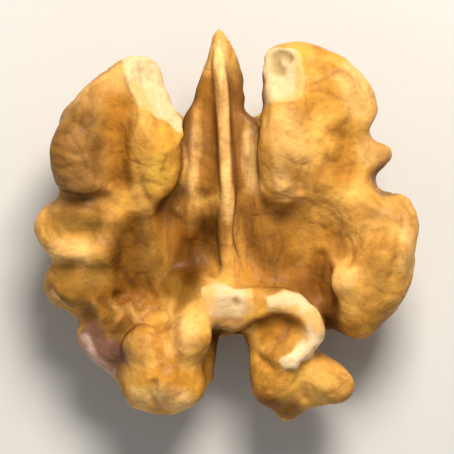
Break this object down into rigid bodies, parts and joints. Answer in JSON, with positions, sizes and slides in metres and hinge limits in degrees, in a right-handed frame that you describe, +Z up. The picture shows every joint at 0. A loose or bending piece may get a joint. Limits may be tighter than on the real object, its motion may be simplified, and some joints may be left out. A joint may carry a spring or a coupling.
{
  "type": "walnut kernel",
  "caption": "Shelled walnut kernel half with deep winding folds on its round side and a keeled tongue between two wings on its inner face, lying inner face up as food or set dressing.",
  "frame": {"origin": "under the middle of the kernel's bounding box, on the surface that it rests on", "axes": "+Z up out of the inner face, +Y towards the tip of the tongue, +X to the right of the tongue seen from above"},
  "size_m": [0.0284, 0.0285, 0.0132],
  "materials": {
    "kernel": "satin, golden tan, darker in the folds"
  },
  "bodies": {
    "root": {"kernel": "kernel"}
  },
  "joints": []
}
